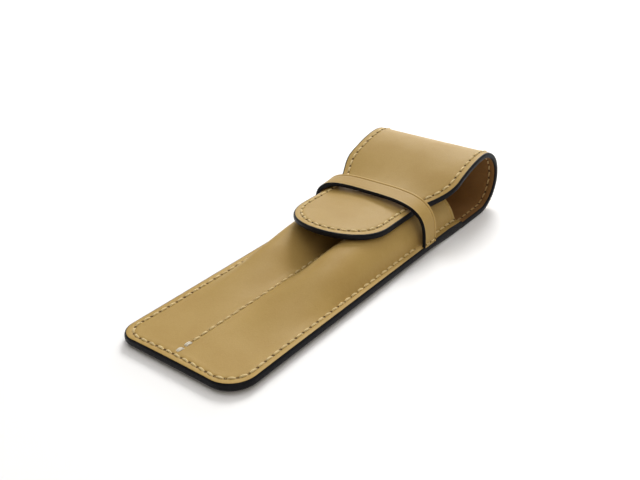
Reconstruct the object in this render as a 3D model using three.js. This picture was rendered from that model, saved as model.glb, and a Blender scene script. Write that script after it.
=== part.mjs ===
// Leather sleeve for two fountain pens, with a tuck-in flap held by a keeper strap.
//
// Millimetres, +Z up. The sleeve lies on its back on z = 0, X runs across it and Y along it,
// with the closed end at -Y and the rolled fold of the flap at +Y. Every leather piece is a thin
// sheet: a box whose grid of vertices is carried to its curved place.

import * as THREE from 'three';
import { mergeVertices } from 'three/addons/utils/BufferGeometryUtils.js';

// ---- driving dimensions ----------------------------------------------------------------------

const WIDTH = 56;
const LENGTH = 171;
const LEFT_CORNER = 7;        // radii of the closed end's two corners, which are cut unevenly
const RIGHT_CORNER = 10.5;
const MOUTH = 140.5;          // from the closed end to the mouth of the pen channels
const GAP = 0.3;              // between neighbouring pieces, and between layers

const STRIP_OUTER = 1.1;      // the long back strip, which rolls over and ends as the flap
const STRIP_LINING = 0.8;
const FRONT_OUTER = 0.8;
const FRONT_LINING = 0.4;
const KEEPER_OUTER = 0.8;
const KEEPER_LINING = 0.5;

const FOLD_CENTRE = 157;      // the fold's half circle, from the closed end
const FOLD_RADIUS = 14;       // on the outer surface
const HINGE_COUNT = 4;        // bending lines that stand for the leather's even bend
const OUTER_CLOSING = 0.5;    // extra room at each bending line's outer side

const TONGUE_TOP = 19.2;      // height of the flap where it lies on the channels
const TONGUE_TIP = 76.6;      // from the closed end
const TONGUE_ROUND = 20;      // length of the rounded tip
const FLAP_DROP_END = 119;    // the flap comes down from the fold to here
const TONGUE_SHIFT = -1;      // the tongue lies a little off the middle
const FLAP_REAR = 120;        // the stiff flap ends here, and the supple bridge begins
const BRIDGE_REAR = 156;
const FLAP_NARROWING = 6.9;
const NARROW_FROM = 137;
const NARROW_TO = 118;
const FLAP_ARCH = 4.4;        // how far the flap's long edges hang below its middle
const ARCH_FROM = 140;
const ARCH_TO = 118;

const LEFT_CHANNEL_TOP = 13.2;
const LEFT_CROWN = -18;       // where the left channel is highest, across the sleeve
const RIGHT_CHANNEL_TOP = 15.1;
const RIGHT_CROWN = 11.25;
const CHANNEL_RISE_FROM = 20;
const LEFT_RISE_TO = 104;      // the left channel swells more slowly than the right
const RIGHT_RISE_TO = 84;
const SEAM_X = -2.5;          // the seam between the channels
const SEAM_FLAT = 0.8;        // half width of the flat that the seam is sewn on
const BORDER = 3.8;           // flat border round the channels

const KEEPER_FRONT = 110.5;
const KEEPER_REAR = 119;
const KEEPER_FRONT_TOP = 22;
const KEEPER_REAR_TOP = 23;
const KEEPER_SQUARENESS = 3.6;

const STITCH_MARGIN = 3.2;
const THREAD_WIDTH = 0.8;
const THREAD_HEIGHT = 0.3;
const TACK_WIDTH = 1.4;

const HALF = WIDTH / 2;
const STRIP = STRIP_OUTER + GAP + STRIP_LINING;
const BORDER_TOP = STRIP + GAP + FRONT_LINING + GAP + FRONT_OUTER;
const FOLD_TOP = 2 * FOLD_RADIUS;
const ARC_LENGTH = Math.PI * FOLD_RADIUS;
const TOP_START = FOLD_CENTRE + ARC_LENGTH;

// ---- materials -------------------------------------------------------------------------------

const leather = new THREE.MeshStandardMaterial({ color: 0xbea369, roughness: 0.55, metalness: 0 });
const lining = new THREE.MeshStandardMaterial({ color: 0xa88553, roughness: 0.75, metalness: 0 });
const thread = new THREE.MeshStandardMaterial({ color: 0xd9bf86, roughness: 0.7, metalness: 0 });
const tackThread = new THREE.MeshStandardMaterial({ color: 0xe8dcc0, roughness: 0.7, metalness: 0 });

const group = new THREE.Group();

// ---- helpers ---------------------------------------------------------------------------------

const clamp01 = (t) => Math.min(1, Math.max(0, t));
const mix = (a, b, t) => a + (b - a) * t;

function smooth(t) {
  const c = clamp01(t);
  return c * c * (3 - 2 * c);
}

// Adds a sheet. place(u, v, w) gives [x, along, z]: u runs across from -1 to 1, v along from
// 0 to 1 and w through the thickness from 0 to 1, as a right-handed set.
function addSheet(name, material, across, along, place) {
  const box = new THREE.BoxGeometry(2, 1, 1, across, along, 1);
  box.deleteAttribute('normal');
  box.deleteAttribute('uv');
  const geometry = mergeVertices(box);
  const position = geometry.attributes.position;
  for (let i = 0; i < position.count; i += 1) {
    const v = position.getY(i) + 0.5;
    const w = position.getZ(i) + 0.5;
    const [x, distance, z] = place(position.getX(i), v, w);
    position.setXYZ(i, x, distance - LENGTH / 2, z);
  }
  geometry.computeVertexNormals();
  const mesh = new THREE.Mesh(geometry, material);
  mesh.name = name;
  group.add(mesh);
}

// Spaces v so that the rounded closed end gets close rows.
function rowDistance(v, end) {
  const roundShare = 0.3;
  if (v < roundShare) return RIGHT_CORNER * (1 - Math.cos((Math.PI / 2) * (v / roundShare)));
  return mix(RIGHT_CORNER, end, (v - roundShare) / (1 - roundShare));
}

const cornerRadius = (side) => (side < 0 ? LEFT_CORNER : RIGHT_CORNER);

// Half width of the pouch on one side, whose closed end has rounded corners.
function pouchHalfWidth(distance, side) {
  const radius = cornerRadius(side);
  const into = radius - Math.min(distance, radius);
  return HALF - radius + Math.sqrt(radius ** 2 - into ** 2);
}

// ---- the long strip: back, fold and flap -----------------------------------------------------

// Height of the flap's outer surface along its middle, from the fold's top to the tongue.
function flapTop(distance) {
  const t = (distance - FLAP_DROP_END) / (FOLD_CENTRE - FLAP_DROP_END);
  return mix(TONGUE_TOP, FOLD_TOP, smooth(t));
}

// A point of the strip's outer surface. The path parameter is the distance from the closed end,
// carried on round the fold's arc and back along the top.
function stripPoint(path) {
  if (path <= FOLD_CENTRE) return [path, 0];
  if (path >= TOP_START) {
    const distance = FOLD_CENTRE - (path - TOP_START);
    return [distance, flapTop(distance)];
  }
  const angle = (path - FOLD_CENTRE) / FOLD_RADIUS;
  return [FOLD_CENTRE + FOLD_RADIUS * Math.sin(angle), FOLD_RADIUS * (1 - Math.cos(angle))];
}

// The same point carried inwards by a depth, square to the surface.
function stripInside(path, depth) {
  const step = 0.05;
  const [y0, z0] = stripPoint(path - step);
  const [y1, z1] = stripPoint(path + step);
  const length = Math.hypot(y1 - y0, z1 - z0);
  const [y, z] = stripPoint(path);
  return [y - (depth * (z1 - z0)) / length, z + (depth * (y1 - y0)) / length];
}

const pathOnTop = (distance) => TOP_START + FOLD_CENTRE - distance;
const hingePath = (index) => FOLD_CENTRE + ARC_LENGTH * ((index + 0.5) / HINGE_COUNT);

// How far the strip has become the tongue at a path position, from 0 to 1.
function tongueShare(path) {
  if (path < TOP_START) return 0;
  const distance = FOLD_CENTRE - (path - TOP_START);
  return smooth((NARROW_FROM - distance) / (NARROW_FROM - NARROW_TO));
}

// Half width of the strip at a path position: full round the fold, narrowing along the flap to
// the tongue, whose tip is half an ellipse.
function stripHalfWidth(path) {
  const side = HALF - FLAP_NARROWING * tongueShare(path);
  const distance = FOLD_CENTRE - (path - TOP_START);
  const into = clamp01(1 - (distance - TONGUE_TIP) / TONGUE_ROUND);
  return Math.max(side * Math.sqrt(1 - into ** 2), 3.5);
}

const stripCentre = (path) => TONGUE_SHIFT * tongueShare(path);

// Drop of the flap's surface towards its long edges.
function archDrop(x, path) {
  if (path < TOP_START) return 0;
  const distance = FOLD_CENTRE - (path - TOP_START);
  const share = smooth((ARCH_FROM - distance) / (ARCH_FROM - ARCH_TO));
  return FLAP_ARCH * share * (x / HALF) ** 2;
}

// An end of a fold piece stands back from its bending line, further on the outer side, because
// that side closes up when the fold opens.
function endClearance(depth) {
  const neutral = STRIP / 2;
  const inner = GAP / 2;
  return inner + OUTER_CLOSING * clamp01(1 - depth / neutral);
}

// One layer of the strip between two path positions. Plain ends keep half the gap; hinged ends
// keep the clearance of a bending line.
function addStripLayer(name, material, layer, start, end, shape) {
  addSheet(name, material, shape.across, shape.along, (u, v, w) => {
    const depth = mix(layer.from, layer.to, w);
    const back = shape.hingedStart ? endClearance(depth) : GAP / 2;
    const front = shape.hingedEnd ? endClearance(depth) : GAP / 2;
    const share = shape.spacing ? shape.spacing(v) : v;
    const path = mix(start + back, end - front, share);
    const x = u * stripHalfWidth(path);
    const [distance, z] = stripInside(path, depth);
    return [stripCentre(path) + x, distance, z - archDrop(x, path)];
  });
}

const outerLayer = { from: 0, to: STRIP_OUTER };
const liningLayer = { from: STRIP_OUTER + GAP, to: STRIP };

function addStripPair(name, start, end, shape) {
  addStripLayer(`${name}_outer`, leather, outerLayer, start, end, shape);
  addStripLayer(`${name}_lining`, lining, liningLayer, start, end, shape);
}

// The back panel is the strip's sewn length, with the pouch's rounded corners.
function addBackPanel(name, material, layer) {
  addSheet(name, material, 2, 20, (u, v, w) => {
    const distance = rowDistance(v, MOUTH - GAP / 2);
    return [u * pouchHalfWidth(distance, u), distance, mix(layer.from, layer.to, w)];
  });
}

addBackPanel('back_panel_outer', leather, outerLayer);
addBackPanel('back_panel_lining', lining, liningLayer);

const arcShape = { across: 2, along: 6, hingedStart: true, hingedEnd: true };
addStripPair('fold_base', MOUTH, hingePath(0), { ...arcShape, hingedStart: false });
addStripPair('fold_lower', hingePath(0), hingePath(1), arcShape);
addStripPair('fold_middle', hingePath(1), hingePath(2), arcShape);
addStripPair('fold_upper', hingePath(2), hingePath(3), arcShape);
addStripPair('flap_root', hingePath(3), pathOnTop(BRIDGE_REAR), { ...arcShape, hingedEnd: false });
addStripPair('flap_bridge', pathOnTop(BRIDGE_REAR), pathOnTop(FLAP_REAR), { across: 8, along: 10 });

// Rows crowd towards the tongue's tip.
const towardsTip = (v) => 1 - (1 - v) ** 1.8;
const flapShape = { across: 12, along: 20, spacing: towardsTip };
addStripPair('flap', pathOnTop(FLAP_REAR), pathOnTop(TONGUE_TIP), flapShape);

// ---- front panel with the two pen channels ---------------------------------------------------

const leftChannel = {
  low: -HALF + BORDER, crown: LEFT_CROWN, high: SEAM_X - SEAM_FLAT,
  top: LEFT_CHANNEL_TOP, riseTo: LEFT_RISE_TO, outer: -1,
};
const rightChannel = {
  low: SEAM_X + SEAM_FLAT, crown: RIGHT_CROWN, high: HALF - BORDER,
  top: RIGHT_CHANNEL_TOP, riseTo: RIGHT_RISE_TO, outer: 1,
};

// Height of the front panel's outer surface. The channels swell from flat, and their section
// goes from a soft wave to an arch that is squarer on its outer side than by the seam.
function frontTop(x, distance) {
  const channel = x < SEAM_X ? leftChannel : rightChannel;
  const rise = smooth((distance - CHANNEL_RISE_FROM) / (channel.riseTo - CHANNEL_RISE_FROM));
  const side = x < channel.crown ? -1 : 1;
  const foot = side < 0 ? channel.low : channel.high;
  const t = (x - channel.crown) / (foot - channel.crown);
  if (t >= 1) return BORDER_TOP;
  const square = side === channel.outer ? [2.6, 0.75] : [1.8, 1.3];
  const section = (1 - t ** mix(2, square[0], rise)) ** mix(1.6, square[1], rise);
  return BORDER_TOP + (channel.top - BORDER_TOP) * rise * section;
}

// The panel's surface carried down by a depth, square to its section.
function frontInside(x, distance, depth) {
  const step = 0.1;
  const rise = frontTop(x + step, distance) - frontTop(x - step, distance);
  const length = Math.hypot(rise, 2 * step);
  return [x + (depth * rise) / length, frontTop(x, distance) - (depth * 2 * step) / length];
}

// Positions across the panel: the borders, then even steps of each channel, closer at its feet.
const CHANNEL_STEPS = 12;
const acrossStops = [];
acrossStops.push(-1);
for (const channel of [leftChannel, rightChannel]) {
  for (let i = 0; i <= CHANNEL_STEPS; i += 1) {
    const share = 0.5 - 0.5 * Math.cos((Math.PI * i) / CHANNEL_STEPS);
    acrossStops.push(mix(channel.low, channel.high, share) / HALF);
  }
}
acrossStops.push(1);

function addFrontPanel(name, material, from, to) {
  const across = acrossStops.length - 1;
  addSheet(name, material, across, 24, (u, v, w) => {
    const distance = rowDistance(v, MOUTH - GAP / 2);
    const stop = acrossStops[Math.round(((u + 1) / 2) * across)];
    const [x, z] = frontInside(stop * HALF, distance, mix(to, from, w));
    return [x * (pouchHalfWidth(distance, x) / HALF), distance, z];
  });
}

addFrontPanel('front_panel_outer', leather, 0, FRONT_OUTER);
const frontLiningDepth = FRONT_OUTER + GAP;
addFrontPanel('front_panel_lining', lining, frontLiningDepth, frontLiningDepth + FRONT_LINING);

// ---- keeper strap ----------------------------------------------------------------------------

// The strap stands on both borders and arches over the flap, as a squared-off half ellipse.
const KEEPER_FOOT = BORDER_TOP + GAP;

function keeperPoint(angle, top) {
  const power = 2 / KEEPER_SQUARENESS;
  const x = -Math.sign(Math.cos(angle)) * HALF * Math.abs(Math.cos(angle)) ** power;
  return [x, KEEPER_FOOT + (top - KEEPER_FOOT) * Math.abs(Math.sin(angle)) ** power];
}

function keeperInside(angle, top, depth) {
  const step = 0.002;
  const from = keeperPoint(Math.max(angle - step, 0), top);
  const to = keeperPoint(Math.min(angle + step, Math.PI), top);
  const length = Math.hypot(to[0] - from[0], to[1] - from[1]);
  const [x, z] = keeperPoint(angle, top);
  return [x + (depth * (to[1] - from[1])) / length, z - (depth * (to[0] - from[0])) / length];
}

function addKeeper(name, material, from, to) {
  addSheet(name, material, 28, 2, (u, v, w) => {
    const distance = mix(KEEPER_FRONT, KEEPER_REAR, v);
    const top = mix(KEEPER_FRONT_TOP, KEEPER_REAR_TOP, v);
    const [x, z] = keeperInside((Math.PI * (u + 1)) / 2, top, mix(to, from, w));
    return [x, distance, Math.max(z, KEEPER_FOOT)];
  });
}

addKeeper('keeper_outer', leather, 0, KEEPER_OUTER);
const keeperLiningDepth = KEEPER_OUTER + GAP;
addKeeper('keeper_lining', lining, keeperLiningDepth, keeperLiningDepth + KEEPER_LINING);

// ---- sewing threads --------------------------------------------------------------------------

// A point of the U-shaped seam: down the left side, round the closed end and up the right side.
const SEAM_HALF = HALF - STITCH_MARGIN;

function seamCorner(side, angle, offset) {
  const outline = cornerRadius(side);
  const radius = outline - STITCH_MARGIN + offset;
  return [side * (HALF - outline + radius * Math.sin(angle)), outline - radius * Math.cos(angle)];
}

function perimeterPoint(share, offset) {
  const sideShare = 0.3;
  const cornerShare = 0.18;
  const side = share < 0.5 ? -1 : 1;
  const outline = cornerRadius(side);
  const t = 1 - Math.abs(2 * share - 1);
  if (t < sideShare) {
    return [side * (SEAM_HALF + offset), mix(MOUTH - 1, outline, t / sideShare)];
  }
  if (t < sideShare + cornerShare) {
    const angle = (Math.PI / 2) * (1 - (t - sideShare) / cornerShare);
    return seamCorner(side, angle, offset);
  }
  const inward = (t - sideShare - cornerShare) / (1 - sideShare - cornerShare);
  return [side * (HALF - outline) * (1 - inward), STITCH_MARGIN - offset];
}

addSheet('perimeter_seam_thread', thread, 80, 1, (u, v, w) => {
  const [x, distance] = perimeterPoint((u + 1) / 2, (0.5 - v) * THREAD_WIDTH);
  return [x, distance, BORDER_TOP + GAP + w * THREAD_HEIGHT];
});

function addCentreThread(name, material, width, start, end) {
  addSheet(name, material, 1, 1, (u, v, w) => {
    const distance = mix(start, end, v);
    const z = BORDER_TOP + GAP + w * THREAD_HEIGHT;
    return [SEAM_X + (u * width) / 2, distance, z];
  });
}

const TACK_END = 11.5;
addCentreThread('centre_seam_bar_tack', tackThread, TACK_WIDTH, STITCH_MARGIN + 1.2, TACK_END);
addCentreThread('centre_seam_thread', thread, THREAD_WIDTH, TACK_END + GAP, MOUTH - 1);

// The flap's seam follows the tongue's outline, inside it by the stitch margin.
addSheet('flap_seam_thread', thread, 72, 1, (u, v, w) => {
  const side = u < 0 ? -1 : 1;
  const t = 1 - Math.abs(u);
  const inset = STITCH_MARGIN + (v - 0.5) * THREAD_WIDTH;
  const tipAngle = (Math.PI / 2) * clamp01((t - 0.5) / 0.5);
  const round = TONGUE_TIP + TONGUE_ROUND;
  const distance = t < 0.5
    ? mix(FLAP_REAR - GAP, round, t / 0.5)
    : round - (TONGUE_ROUND - inset) * Math.sin(tipAngle);
  const across = stripHalfWidth(pathOnTop(Math.max(distance, round))) - inset;
  const x = side * across * Math.cos(tipAngle);
  const path = pathOnTop(distance);
  const z = flapTop(distance) - archDrop(x, path) + GAP + w * THREAD_HEIGHT;
  return [stripCentre(path) + x, distance, z];
});

export default group;
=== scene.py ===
"""Looks for the leather pen sleeve: stitched, edge-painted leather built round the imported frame."""

import math

import bmesh
import bpy
import numpy as np
from mathutils import Matrix, Vector


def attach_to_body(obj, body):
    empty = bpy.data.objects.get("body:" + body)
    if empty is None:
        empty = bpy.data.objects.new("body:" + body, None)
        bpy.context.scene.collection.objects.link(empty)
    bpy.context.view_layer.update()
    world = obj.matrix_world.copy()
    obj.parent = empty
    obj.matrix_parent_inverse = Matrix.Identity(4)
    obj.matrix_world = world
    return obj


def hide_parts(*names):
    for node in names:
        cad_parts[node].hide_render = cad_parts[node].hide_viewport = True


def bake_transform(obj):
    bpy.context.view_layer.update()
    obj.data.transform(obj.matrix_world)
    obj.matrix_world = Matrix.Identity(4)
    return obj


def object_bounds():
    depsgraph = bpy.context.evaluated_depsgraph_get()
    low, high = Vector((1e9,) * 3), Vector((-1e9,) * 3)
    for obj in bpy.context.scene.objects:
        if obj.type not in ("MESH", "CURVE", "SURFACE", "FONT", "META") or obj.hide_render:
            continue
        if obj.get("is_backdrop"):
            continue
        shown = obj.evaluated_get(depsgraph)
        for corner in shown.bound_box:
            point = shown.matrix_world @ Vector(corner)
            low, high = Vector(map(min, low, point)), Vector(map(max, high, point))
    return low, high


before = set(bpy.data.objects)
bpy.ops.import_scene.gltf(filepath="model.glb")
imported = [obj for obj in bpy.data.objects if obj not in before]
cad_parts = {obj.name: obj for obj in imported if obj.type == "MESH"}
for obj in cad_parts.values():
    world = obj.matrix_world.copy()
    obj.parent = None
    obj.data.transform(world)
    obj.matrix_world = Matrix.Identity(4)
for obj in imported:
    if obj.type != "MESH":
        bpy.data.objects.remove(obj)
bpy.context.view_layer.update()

MM = 0.001

# ---- the sleeve's dimensions, in millimetres, "along" measured from the closed end ---------------

HALF = 28.0
LENGTH = 171.0
LEFT_CORNER = 7.0
RIGHT_CORNER = 10.5
MOUTH = 140.5
STRIP = 2.2
BORDER_TOP = 4.0
FOLD_CENTRE = 157.0
FOLD_RADIUS = 14.0
TOP_START = FOLD_CENTRE + math.pi * FOLD_RADIUS

TONGUE_TOP = 19.2
TONGUE_TIP = 76.6
TONGUE_ROUND = 20.0
FLAP_DROP_END = 119.0
FLAP_REAR = 120.0
BRIDGE_REAR = 156.0
FLAP_NARROWING = 6.9
NARROW_FROM = 137.0
NARROW_TO = 118.0
TONGUE_SHIFT = -1.0
FLAP_ARCH = 4.4
ARCH_FROM = 140.0
ARCH_TO = 118.0

LEFT_CHANNEL_TOP = 13.2
LEFT_CROWN = -18.0
RIGHT_CHANNEL_TOP = 15.1
RIGHT_CROWN = 11.25
CHANNEL_RISE_FROM = 20.0
LEFT_RISE_TO = 104.0
RIGHT_RISE_TO = 84.0
SEAM_X = -2.5
SEAM_FLAT = 0.8
BORDER = 3.8

KEEPER_FRONT = 110.5
KEEPER_REAR = 119.0
KEEPER_FRONT_TOP = 22.0
KEEPER_REAR_TOP = 23.0
KEEPER_THICK = 1.6
KEEPER_SQUARENESS = 3.6
KEEPER_FOOT = BORDER_TOP - 0.1

MARGIN = 3.2                # seam to edge
PITCH = 3.9                 # one stitch
OUTER_SHARE = 1.25          # depth of the joint between the strip's two leathers
FRONT_SPLIT = 3.15          # height of the joint between the front panel's two leathers
STACK_SPLIT = 2.35          # height of the joint between the strip and the front panel
STRIP_BULGE = 0.5           # how far the painted edges stand out in their middle
POUCH_BULGE = 0.75
KEEPER_BULGE = 0.35
SKIVED_FROM = 129.0         # the front panel's border thins from here to the mouth
LINING_SEED = 20            # offsets in the "rest" attribute, so that each leather has its own grain
KEEPER_SEED = 60
POUCH_SHIFT = 40
STATION_STEP = 0.5          # between stations along the straight edges
SPINE_END = 26.0            # the pouch's stations at its closed end all point here
TONE_SPAN = 12.0            # margin at the right-hand end of the leathers' tone ramps
PLAIN_MARGIN = 9.0          # margins further in are stored as this, in the plain field's tone


def clamp01(t):
    return np.clip(t, 0.0, 1.0)


def smooth(t):
    c = clamp01(t)
    return c * c * (3 - 2 * c)


def mix(a, b, t):
    return a + (b - a) * t


def bell(t, middle, width):
    return np.exp(-(((t - middle) / width) ** 2))


def run_length(points):
    """Length along a line of points, up to each point."""
    gaps = np.linalg.norm(np.diff(points, axis=0), axis=1)
    return np.concatenate([[0], np.cumsum(gaps)])


def unit(vectors):
    return vectors / np.linalg.norm(vectors, axis=-1, keepdims=True)


# ---- the shapes that the CAD part has ------------------------------------------------------------

def flap_top(along):
    t = (along - FLAP_DROP_END) / (FOLD_CENTRE - FLAP_DROP_END)
    return mix(TONGUE_TOP, 2 * FOLD_RADIUS, smooth(t))


def along_top(path):
    return FOLD_CENTRE - (path - TOP_START)


def path_on_top(along):
    return TOP_START + FOLD_CENTRE - along


def strip_point(path):
    path = np.asarray(path, float)
    angle = np.clip((path - FOLD_CENTRE) / FOLD_RADIUS, 0, math.pi)
    y = FOLD_CENTRE + FOLD_RADIUS * np.sin(angle)
    z = FOLD_RADIUS * (1 - np.cos(angle))
    y = np.where(path <= FOLD_CENTRE, path, y)
    z = np.where(path <= FOLD_CENTRE, 0.0, z)
    on_top = path >= TOP_START
    y = np.where(on_top, along_top(path), y)
    return y, np.where(on_top, flap_top(along_top(path)), z)


def tongue_share(path):
    share = smooth((NARROW_FROM - along_top(path)) / (NARROW_FROM - NARROW_TO))
    return np.where(path < TOP_START, 0.0, share)


def strip_side(path):
    """Half width of the strip without its rounded tip."""
    return HALF - FLAP_NARROWING * tongue_share(path)


def strip_centre(path):
    return TONGUE_SHIFT * tongue_share(path)


def strip_surface(x, path, depth):
    """A point of the strip, carried inwards by a depth square to its outer surface."""
    step = 0.05
    y0, z0 = strip_point(path - step)
    y1, z1 = strip_point(path + step)
    length = np.hypot(y1 - y0, z1 - z0)
    y, z = strip_point(path)
    share = smooth((ARCH_FROM - along_top(path)) / (ARCH_FROM - ARCH_TO))
    share = np.where(path < TOP_START, 0.0, share)
    arch = FLAP_ARCH * share * ((x - strip_centre(path)) / HALF) ** 2
    y = y - depth * (z1 - z0) / length
    z = z + depth * (y1 - y0) / length - arch
    return np.stack([x + 0 * y, y, z], -1)


def front_crest(x, along):
    """Height of the front panel's face, with sharp feet where the channels leave the border."""
    left = x < SEAM_X
    rise_to = np.where(left, LEFT_RISE_TO, RIGHT_RISE_TO)
    rise = smooth((along - CHANNEL_RISE_FROM) / (rise_to - CHANNEL_RISE_FROM))
    low = np.where(left, -HALF + BORDER, SEAM_X + SEAM_FLAT)
    high = np.where(left, SEAM_X - SEAM_FLAT, HALF - BORDER)
    crown = np.where(left, LEFT_CROWN, RIGHT_CROWN)
    top = np.where(left, LEFT_CHANNEL_TOP, RIGHT_CHANNEL_TOP)
    before = x < crown
    t = np.clip(np.where(before, (crown - x) / (crown - low), (x - crown) / (high - crown)), 0, 1)
    outer = before == left
    power = mix(2.0, np.where(outer, 2.6, 1.8), rise)
    root = mix(1.6, np.where(outer, 0.75, 1.3), rise)
    section = np.maximum(1 - t ** power, 0) ** root
    return BORDER_TOP + (top - BORDER_TOP) * rise * section


def front_top(x, along):
    """The same height as leather takes it: rounded at the feet, faintly uneven along the channels."""
    height = 0
    for shift, weight in zip(np.linspace(-0.9, 0.9, 7), (1, 2, 3, 4, 3, 2, 1)):
        height = height + front_crest(x + shift, along) * weight / 16
    fullness = smooth((height - BORDER_TOP) / 4)
    uneven = np.sin(0.17 * along + 0.21 * x) + 0.8 * np.sin(0.29 * along - 0.33 * x + 1.7)
    return height + 0.10 * fullness * uneven


def front_surface(x, along, depth):
    step = 0.15
    rise = front_top(x + step, along) - front_top(x - step, along)
    length = np.hypot(rise, 2 * step)
    z = front_top(x, along) - depth * 2 * step / length
    skived = 0.4 * smooth((along - SKIVED_FROM) / (MOUTH - SKIVED_FROM))
    z = z - skived * np.maximum(np.minimum(z, BORDER_TOP) - STACK_SPLIT, 0)
    return np.stack([x + depth * rise / length, along + 0 * x, z], -1)


# ---- meshes --------------------------------------------------------------------------------------

def link_object(name, data):
    obj = bpy.data.objects.new(name, data)
    bpy.context.scene.collection.objects.link(obj)
    return obj


def mesh_in_metres(name, points, faces, face_mats):
    """A mesh in the row frame from points in millimetres along the sleeve."""
    places = points.copy()
    places[:, 1] -= LENGTH / 2
    mesh = bpy.data.meshes.new(name)
    mesh.from_pydata((places * MM).tolist(), [], faces)
    mesh.polygons.foreach_set("material_index", np.array(face_mats, np.int32))
    return mesh


def store(mesh, name, kind, field, values):
    layer = mesh.attributes.new(name, kind, "POINT")
    layer.data.foreach_set(field, values.astype(np.float32).ravel())


def fill_open_ends(mesh, material_index):
    """Closes each open rim with flat, sharp-edged triangles and turns all faces outwards."""
    bm = bmesh.new()
    bm.from_mesh(mesh)
    loose = [v for v in bm.verts if not v.link_faces]
    bmesh.ops.delete(bm, geom=loose, context="VERTS")
    rim = [e for e in bm.edges if e.is_boundary]
    for edge in rim:
        edge.smooth = False
    for face in bm.faces:
        face.smooth = True
    while rim:
        loop = [rim.pop()]
        grown = True
        while grown:
            ends = {v for e in loop for v in e.verts}
            joined = [e for e in rim if e.verts[0] in ends or e.verts[1] in ends]
            rim = [e for e in rim if e not in joined]
            loop += joined
            grown = bool(joined)
        filled = bmesh.ops.triangle_fill(bm, edges=loop, use_beauty=False, use_dissolve=False)["geom"]
        for face in filled:
            if isinstance(face, bmesh.types.BMFace):
                face.material_index = material_index
                face.smooth = False
    bmesh.ops.recalc_face_normals(bm, faces=bm.faces)
    bm.to_mesh(mesh)
    bm.free()


def make_object(name, points, faces, face_mats, materials, rest, margin):
    """A smooth object from points in millimetres, whose double points become one."""
    key = np.round(points, 4)
    _, first, back = np.unique(key, axis=0, return_index=True, return_inverse=True)
    back = back.ravel()
    welded, mats = [], []
    for face, mat in zip(faces, face_mats):
        ring = []
        for corner in face:
            v = int(back[corner])
            if v not in ring:
                ring.append(v)
        if len(ring) >= 3:
            welded.append(ring)
            mats.append(mat)
    mesh = mesh_in_metres(name, points[first], welded, mats)
    store(mesh, "rest", "FLOAT_VECTOR", "vector", rest[first])
    store(mesh, "margin", "FLOAT", "value", margin[first])
    for material in materials:
        mesh.materials.append(material)
    fill_open_ends(mesh, len(materials) - 1)
    return link_object(name, mesh)


def edge_pull(height, total, bulge):
    """How far the rounded edge stands back at a height in a stack of that total thickness."""
    t = np.abs(2 * height / total - 1)
    return bulge * (1 - (1 - clamp01(t) ** 2.6) ** (1 / 2.6))


# Margins of the rows down a layer's face, close together by the edge and the seam.
NEAR_MARGINS = [
    0.75, 0.95, 1.25, 1.6, 1.85,
    2.1, 2.4, 2.65, 2.85, 3.0, 3.1, 3.2, 3.3, 3.4, 3.55, 3.75, 4.0, 4.3,
    4.55, 4.8, 5.1, 5.4, 5.8, 6.2, 6.6, 7.1, 7.5, 8.0,
]
SPINE_FROM = 8.0
FACE, SIDE, UNDERSIDE = 0, 1, 2
FINE = 20                   # a layer with more rows than this towards its spine is shaped underneath too


def layer_profile(top, bottom, total, bulge, fine, heights):
    """Profile of one layer from the spine over its face, down its edge and back underneath.

    Rows are (margin, share of the way to the spine, depth, kind of surface). top and bottom are
    depths in a stack of total thickness.
    """
    rows = [(SPINE_FROM, i / fine, top, FACE) for i in range(fine, 0, -1)]
    rows += [(m, 0.0, top, FACE) for m in reversed(NEAR_MARGINS)]
    for i in range(heights + 1):
        depth = mix(top, bottom, 0.5 - 0.5 * math.cos(math.pi * i / heights))
        rows.append((float(edge_pull(depth, total, bulge)), 0.0, depth, SIDE))
    under = [1.2, 2.5, 3.4, 3.8, 4.2, 4.8, 5.6, 6.6, 8.0] if fine > FINE else [1.2, 4.0, 8.0]
    rows += [(m, 0.0, bottom, UNDERSIDE) for m in under]
    coarse = fine // 3 if fine > FINE else 2
    rows += [(SPINE_FROM, (i + 1) / coarse, bottom, UNDERSIDE) for i in range(coarse)]
    return rows


def lay_out(runs, rows):
    """Plan positions for a profile along runs of stations, which are (outline, spine) pairs.

    Returns the positions, their margins, depths and kinds of surface, the faces and their materials.
    """
    margins = np.array([row[0] for row in rows])
    share = np.array([row[1] for row in rows])
    depths = [row[2] for row in rows]
    kind = [row[3] for row in rows]
    plans, inward, faces, mats = [], [], [], []
    start = 0
    for outline, spine in runs:
        reach = spine - outline
        length = np.linalg.norm(reach, axis=1)
        into = margins[None, :] + share[None, :] * (length[:, None] - SPINE_FROM)
        direction = reach / length[:, None]
        plan = outline[:, None, :] + direction[:, None, :] * into[..., None]
        plans.append(plan.reshape(-1, 2))
        inward.append(into.ravel())
        count, width = len(outline), len(rows)
        for q in range(count - 1):
            a = start + q * width
            for k in range(width - 1):
                faces.append((a + k, a + k + 1, a + width + k + 1, a + width + k))
                pair = (kind[k], kind[k + 1])
                mats.append(max(pair) if SIDE in pair else kind[k])
        start += count * width
    depth = np.concatenate([np.tile(depths, len(outline)) for outline, _ in runs])
    kinds = np.concatenate([np.tile(kind, len(outline)) for outline, _ in runs])
    return np.concatenate(plans), np.concatenate(inward), depth, kinds, faces, mats


def seam_relief(inward, plan, holes, puff):
    """How far the leather's face stands out by a seam: puffed beside it, drawn in at its holes."""
    groove = -0.11 * bell(inward, MARGIN, 0.34)
    swell = 0.10 * bell(inward, 1.7, 0.75) + 0.09 * bell(inward, 4.9, 1.1)
    relief = groove + puff * swell
    near = np.nonzero(np.abs(inward - MARGIN) < 1.3)[0]
    if len(near):
        best = np.full(len(near), np.inf)
        for part in np.array_split(holes, max(1, len(holes) // 40)):
            gap = plan[near][:, None, :] - part[None, :, :]
            best = np.minimum(best, (gap ** 2).sum(-1).min(1))
        relief[near] -= 0.22 * np.exp(-best / 0.60 ** 2)
    return relief


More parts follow.
